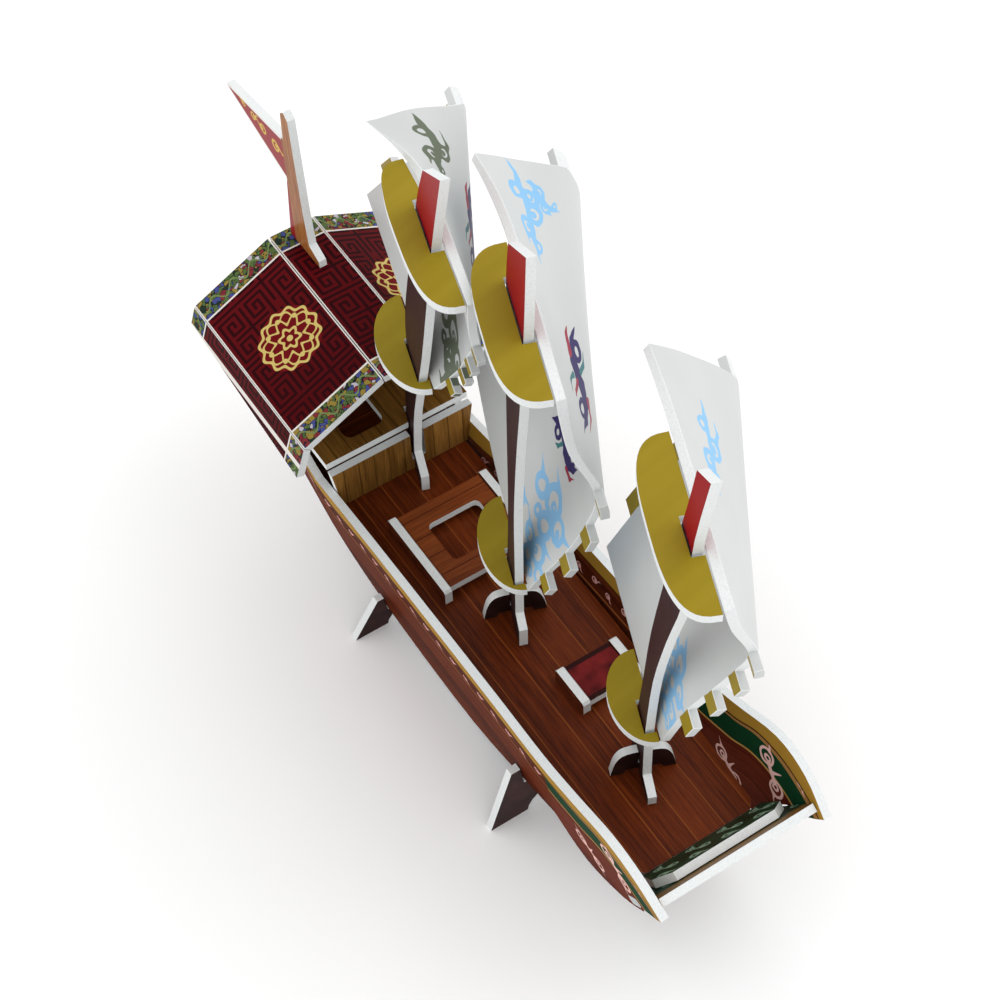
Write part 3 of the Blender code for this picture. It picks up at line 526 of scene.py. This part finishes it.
def printed_board(name, origin, along, across, paint, roughness=0.32, shine=CARD_SHINE):
    """Coated printed card on polystyrene foam board: coloured faces and a dull grey-white cut edge.

    The board's plane runs through origin, with u along it and v across it in millimetres.
    """
    material, tree, shader = new_finish(name)
    along, across = Vector(along).normalized(), Vector(across).normalized()
    place = node(tree, "TexCoord", out=3)
    offset = node(tree, "VectorMath", place, in_frame(origin), operation="SUBTRACT")
    u = node(tree, "VectorMath", offset, along / MM, out=1, operation="DOT_PRODUCT")
    v = node(tree, "VectorMath", offset, across / MM, out=1, operation="DOT_PRODUCT")
    spot = node(tree, "CombineXYZ", u, v, 0.0)
    facing = node(tree, "NewGeometry", out=3)
    facing = node(tree, "VectorMath", facing, along.cross(across), out=1, operation="DOT_PRODUCT")
    facing = node(tree, "Math", facing, operation="ABSOLUTE")
    cut = node(tree, "Math", facing, CUT_FACING, operation="LESS_THAN")
    colour = printed(tree, paint(tree, spot, u, v), (foam_core(tree), cut))
    tree.links.new(colour, shader.inputs["Base Color"])
    rough = node(tree, "Math", cut, FOAM_ROUGHNESS - roughness, roughness, operation="MULTIPLY_ADD")
    card_surface(tree, shader, rough, spot, shine)
    return material


def dress(name, material):
    """Give a CAD board its finish."""
    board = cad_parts[name]
    board.data.materials.clear()
    board.data.materials.append(material)


# The boards, each with a frame in its plane: (origin, along, across) and what is printed on it.
# The hull's sides are matt card, so that their brown stays deep where seen at a grazing angle.
SIDE_Y, SIDE_SLOPE = 22.3, 0.137      # a side's place at deck height, and how it flares outwards
BOW_TOP, BOW_RAKE = (92, 0, 17.1), (-0.5592, 0, -0.829)
X, Y, Z = (1, 0, 0), (0, 1, 0), (0, 0, 1)
for name, sign in (("hull_side_port", 1), ("hull_side_starboard", -1)):
    lean = (0, sign * SIDE_SLOPE, 1)
    side_card = printed_board("hull_card_" + name[10:], (0, sign * SIDE_Y, 0), X, lean, hull_print,
                              roughness=0.5, shine=0.01)
    dress(name, side_card)
for name, slot, origin, along, across, paint in (
        ("main_deck", "deck_planks", (0, 0, 0), X, Y, deck_print),
        ("poop_deck", "poop_planks", (0, 0, 0), X, Y, poop_print),
        ("poop_bulkhead", "poop_planks", (-56.7, 0, 0), Y, Z, upright_print),
        ("transom", "poop_planks", (-97.9, 0, 0), Y, Z, upright_print),
        ("stern_counter", "poop_planks", (-71.4, 0, -2.2), Y, (-11.6, 0, 16.5), deck_print),
        ("bow_board", "bow_print", BOW_TOP, Y, BOW_RAKE, bow_print),
        ("bow_inset", "bow_print", BOW_TOP, Y, BOW_RAKE, bow_print),
        ("flagpole_pennant", "flag_red", (0, 0, 0), X, Z, flag_print),
        ("hatch_main_panel", "hatch_print", (0, 0, 0), X, Y, hatch_frame_print),
        ("hatch_fore_panel", "hatch_print", (0, 0, 0), X, Y, hatch_lid_print_with_painted_sheen)):
    dress(name, printed_board(name + "_card", origin, along, across, paint))
rail = printed_board("hatch_rail_card", (0, 0, 0), X, Z, plain("#4A1C12", "#7A3A20"))
for hatch in ("main", "fore"):
    for side in ("port", "starboard"):
        dress("hatch_%s_rail_%s" % (hatch, side), rail)
stand = printed_board("stand_card", (0, 0, 0), Y, Z, plain("#22100F", "#3C2220"))
for name in ("stand_aft", "stand_fore"):
    dress(name, stand)

# The roof's five panels share their corners, as (y, z)
ROOF_SECTION = ((-32.6, 33.5), (-30.7, 39.1), (-6.7, 50.9), (6.7, 50.9), (30.7, 39.1), (32.6, 33.5))
for index in range(5):
    eave, ridge = Vector(ROOF_SECTION[index]), Vector(ROOF_SECTION[index + 1])
    if index > 2:
        eave, ridge = ridge, eave
    climb = ridge - eave
    panel_card = printed_board("roof_card_%d" % (index + 1), (ROOF_AFT, *eave), X, (0, *climb),
                               roof_print(climb.length, index in (1, 3)), roughness=0.3, shine=0.02)
    dress("roof_panel_%d" % (index + 1), panel_card)

# Each mast's sail: foot (x, y), yaw, sail_s and rows as in the CAD, and its upper yard's height.
# Rows run from the upper yard down, as (p aft, z aft, p fore, z fore), p to port of the mast, and
# sail_s is (top aft, top fore, low aft, low fore) along it. The peak is how far the aft corner of
# the head turns, in p.
MASTS = {
    "fore": dict(
        foot=(63.47, -4.57), yaw=-22, yard=129, peak=-0.8, sail_s=(-35.4, 30.9, -59.9, -2.5),
        rows=((5.4, 129, 4.9, 129), (13.6, 122, 8.6, 113), (25.0, 107, 14.8, 92.5),
              (23.8, 91, 13.0, 79.3), (17.5, 70, 9.6, 65.2), (9.2, 45.5, 5.9, 50.6),
              (3.0, 25, 3.3, 25))),
    "mid": dict(
        foot=(7.89, -5.18), yaw=-21, yard=129.5, peak=-2.7, sail_s=(-44.9, 26.0, -61.5, -1.5),
        rows=((4.9, 129.5, 5.2, 129.5), (11.4, 126.2, 9.2, 102), (22.3, 119, 16.8, 75),
              (25.6, 104, 15.0, 56), (20.8, 83, 10.8, 41), (9.5, 58, 6.3, 31),
              (2.6, 38.7, 3.2, 22.5))),
    "aft": dict(
        foot=(-47.93, 0.28), yaw=-17.8, yard=126, peak=-6.0, sail_s=(-10.8, 48.0, -59.2, 10.2),
        rows=((4.2, 126, 5.6, 126), (10.0, 130, 7.8, 104), (18.2, 125, 10.2, 87),
              (18.6, 113, 9.4, 78.5), (14.8, 93, 8.8, 69.5), (7.8, 71, 6.6, 61.5),
              (3.0, 54, 3.7, 54))),
}
LEAN = math.tan(math.radians(1.0))        # the masts lean to port
HOOK = 5.2                                # how far a hook stands out from the sheet
HOOK_BAYS, HOOK_ROWS = (2, 3, 4, 5), (0, 1)   # a hook is the two rows about each of these bays' ends
ROWS_PER_BAY, COLUMNS = 6, 16
FOOT_RISE, HEAD_TURN = 0.55, 0.40         # shares of the width where the foot rises and the head turns
CUT_BEVEL = 0.15 * MM


def smooth(points, steps):
    """Points on a smooth curve that passes through the given ones."""
    ends = [points[0], *points, points[-1]]
    curve = []
    for before, first, last, after in zip(ends, ends[1:], ends[2:], ends[3:]):
        for step in range(steps):
            t = step / steps
            curve.append([0.5 * (2 * b + (c - a) * t + (2 * a - 5 * b + 4 * c - d) * t ** 2
                                 + (3 * b - a - 3 * c + d) * t ** 3)
                          for a, b, c, d in zip(before, first, last, after)])
    curve.append(list(points[-1]))
    return curve


def sail_point(mast, rows, row, column):
    """A point of the sheet as (s, p, z). Columns -1 and COLUMNS + 1 are the hooks' ends."""
    p_aft, z_aft, p_fore, z_fore = rows[row]
    top, foot = rows[0], rows[-1]
    t = min(max(column / COLUMNS, 0.0), 1.0)
    near_foot = max(0.0, (row - (len(rows) - 1 - ROWS_PER_BAY)) / ROWS_PER_BAY)
    rise = max(0.0, 1.0 - t / FOOT_RISE) ** 2
    z = z_fore + (z_aft - z_fore) * ((1.0 - t) * (1.0 - near_foot) + rise * near_foot)
    turned = mast["peak"] * max(0.0, 1.0 - t / HEAD_TURN) ** 2
    p = p_aft + (p_fore - p_aft) * t + turned * max(0.0, 1.0 - row / (2 * ROWS_PER_BAY))
    top_aft, top_fore, low_aft, low_fore = mast["sail_s"]
    s_aft = top_aft + (low_aft - top_aft) * (top[1] - z_aft) / (top[1] - foot[1])
    s_fore = top_fore + (low_fore - top_fore) * (top[3] - z_fore) / (top[3] - foot[3])
    s = s_aft + (s_fore - s_aft) * t + HOOK * ((column > COLUMNS) - (column < 0))
    return Vector((s, p, z))


def make_sail(name, mast):
    """A bent foam-board sheet with hooks down both raked edges, cut rim and all."""
    rows = smooth(mast["rows"], ROWS_PER_BAY)
    across_count = COLUMNS + 3
    bpy.ops.object.select_all(action="DESELECT")
    bpy.ops.mesh.primitive_grid_add(x_subdivisions=across_count - 1, y_subdivisions=len(rows) - 1,
                                    size=2)
    sail = bpy.context.object
    sail.name = "sail_%s_sheet" % name
    mesh = sail.data
    sheet, down = {}, {}
    for column in range(-1, COLUMNS + 2):
        length = 0.0
        for row in range(len(rows)):
            sheet[row, column] = sail_point(mast, rows, row, column)
            if row:
                length += (sheet[row, column] - sheet[row - 1, column]).length
            down[row, column] = length
    turn = Matrix.Rotation(math.radians(mast["yaw"]), 3, "Z")
    for vertex in mesh.vertices:
        place = vertex.index // across_count, vertex.index % across_count - 1
        vertex.co = in_frame((*mast["foot"], 0)) + turn @ sheet[place] * MM
    uv = mesh.uv_layers.active.data
    for loop in mesh.loops:
        place = loop.vertex_index // across_count, loop.vertex_index % across_count - 1
        uv[loop.index].uv = (sheet[place].x / UV_SCALE, down[place] / UV_SCALE)
    hooks = {bay * ROWS_PER_BAY - back for bay in HOOK_BAYS for back in HOOK_ROWS}
    bpy.ops.object.mode_set(mode="EDIT")
    bpy.ops.mesh.select_all(action="DESELECT")
    bpy.ops.object.mode_set(mode="OBJECT")
    for face in mesh.polygons:
        row, column = min(face.vertices) // across_count, min(face.vertices) % across_count
        face.select = column in (0, across_count - 2) and row not in hooks
        face.material_index = int(column in (0, across_count - 2))
    bpy.ops.object.mode_set(mode="EDIT")
    bpy.ops.mesh.select_mode(type="FACE")
    bpy.ops.mesh.delete(type="FACE")
    bpy.ops.object.mode_set(mode="OBJECT")
    material = sail_card(name)
    for finish in (material, bpy.data.materials["cut_foam_edge"], material, gold_hook):
        mesh.materials.append(finish)
    board = sail.modifiers.new("board", "SOLIDIFY")
    board.thickness, board.offset, board.use_even_offset = BOARD * MM, 1.0, True
    board.material_offset, board.material_offset_rim = 2, 1
    bpy.ops.object.modifier_apply(modifier="board")
    edge = sail.modifiers.new("edge", "BEVEL")
    edge.width, edge.segments, edge.limit_method = CUT_BEVEL, 1, "ANGLE"
    edge.angle_limit, edge.material = math.radians(60), 1
    bpy.ops.object.modifier_apply(modifier="edge")
    bpy.ops.object.shade_smooth_by_angle(angle=math.radians(35))
    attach(sail, "root")
    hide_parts("sail_" + name)


def sail_card(name):
    """Coated white card over foam, a little uneven in gloss, printed on the sheet's own UV map."""
    material, tree, shader = new_finish("sail_card_" + name)
    place = node(tree, "UVMap", uv_map="UVMap")
    spot = node(tree, "VectorMath", place, None, None, UV_SCALE, operation="SCALE")
    tree.links.new(sail_print(name)(tree, spot), shader.inputs["Base Color"])
    sheen = node(tree, "TexNoise", spot, None, 0.08, 2.0)
    sheen = node(tree, "MapRange", sheen, 0.3, 0.7, 0.36, 0.44)
    card_surface(tree, shader, sheen, spot, CARD_SHINE)
    return material


def foam_edge():
    """The cut edge of the sails' foam core: dull and grey-white."""
    material, tree, shader = new_finish("cut_foam_edge")
    tree.links.new(foam_core(tree), shader.inputs["Base Color"])
    shader.inputs["Roughness"].default_value = FOAM_ROUGHNESS


foam_edge()
gold_hook = printed_board("gold_hook_card", (0, 0, 0), X, Z, gold_print_with_painted_sheen, roughness=0.3)
for name, mast in MASTS.items():
    yaw = math.radians(mast["yaw"])
    along, across = (math.cos(yaw), math.sin(yaw), 0), (-math.sin(yaw), math.cos(yaw), 0)
    upright = (across[0] * LEAN, across[1] * LEAN, 1)
    foot = (*mast["foot"], 0)
    mast_card = printed_board("mast_card_" + name, foot, along, upright, mast_print(mast["yard"]),
                              roughness=0.4, shine=0.03)
    dress("mast_" + name, mast_card)
    gold = printed_board("gold_card_" + name, foot, along, across, gold_print_with_painted_sheen, roughness=0.3)
    dress("yard_upper_" + name, gold)
    dress("yard_lower_" + name, gold)
    if name != "aft":
        dress("bracket_" + name,
              printed_board("bracket_card_" + name, foot, across, Z, plain("#1E100E", "#382320")))
    make_sail(name, mast)

# Floor, light and camera. The floor is matt white paper: no reflection, only soft shadow.
bpy.ops.object.select_all(action="DESELECT")
bpy.ops.mesh.primitive_plane_add(size=6)
floor = bpy.context.object
floor.name = "studio_floor"
paper, tree, shader = new_finish("white_studio_floor")
shader.inputs["Base Color"].default_value = linear("#FAFAFA")
shader.inputs["Roughness"].default_value = 0.9
shader.inputs["Specular IOR Level"].default_value = 0.0
floor.data.materials.append(paper)

SURROUND = 1.12                                          # strength of the white all round
KEY_AT, KEY_AIM = (260, 520, 1000), (0, 0, 30)
KEY_SIDE, KEY_POWER = 0.6, 1.8                           # metres and watts

world = bpy.data.worlds.new("studio")
bpy.context.scene.world = world
world.use_nodes = True
sky = world.node_tree.nodes["Background"]
sky.inputs["Color"].default_value = linear("#FFFFFF")
sky.inputs["Strength"].default_value = SURROUND

key_box = bpy.data.lights.new("key_box", "AREA")
key_box.shape, key_box.size, key_box.energy = "SQUARE", KEY_SIDE, KEY_POWER
key_stand = bpy.data.objects.new("key_box", key_box)
bpy.context.scene.collection.objects.link(key_stand)
key_stand.location = in_frame(KEY_AT)
key_stand.rotation_euler = (in_frame(KEY_AIM) - key_stand.location).to_track_quat("-Z", "Y").to_euler()

# The camera was solved from the photo: its place, then its right, up and backward directions
CAMERA_AT = (276.41, -166.93, 489.57)
CAMERA_AXES = ((0.5447, 0.838, -0.032), (-0.6655, 0.4552, 0.5916), (0.5103, -0.3009, 0.8056))
SENSOR, LENS = 36.0, 82.0

bpy.context.scene.view_settings.view_transform = "Standard"
camera = bpy.data.objects.new("camera", bpy.data.cameras.new("camera"))
bpy.context.scene.collection.objects.link(camera)
turned = Matrix([Vector(axis).normalized() for axis in CAMERA_AXES]).transposed().to_4x4()
turned.translation = in_frame(CAMERA_AT)
camera.matrix_world = turned
camera.data.sensor_width, camera.data.lens = SENSOR, LENS
camera.data.clip_start = 0.01
bpy.context.scene.camera = camera
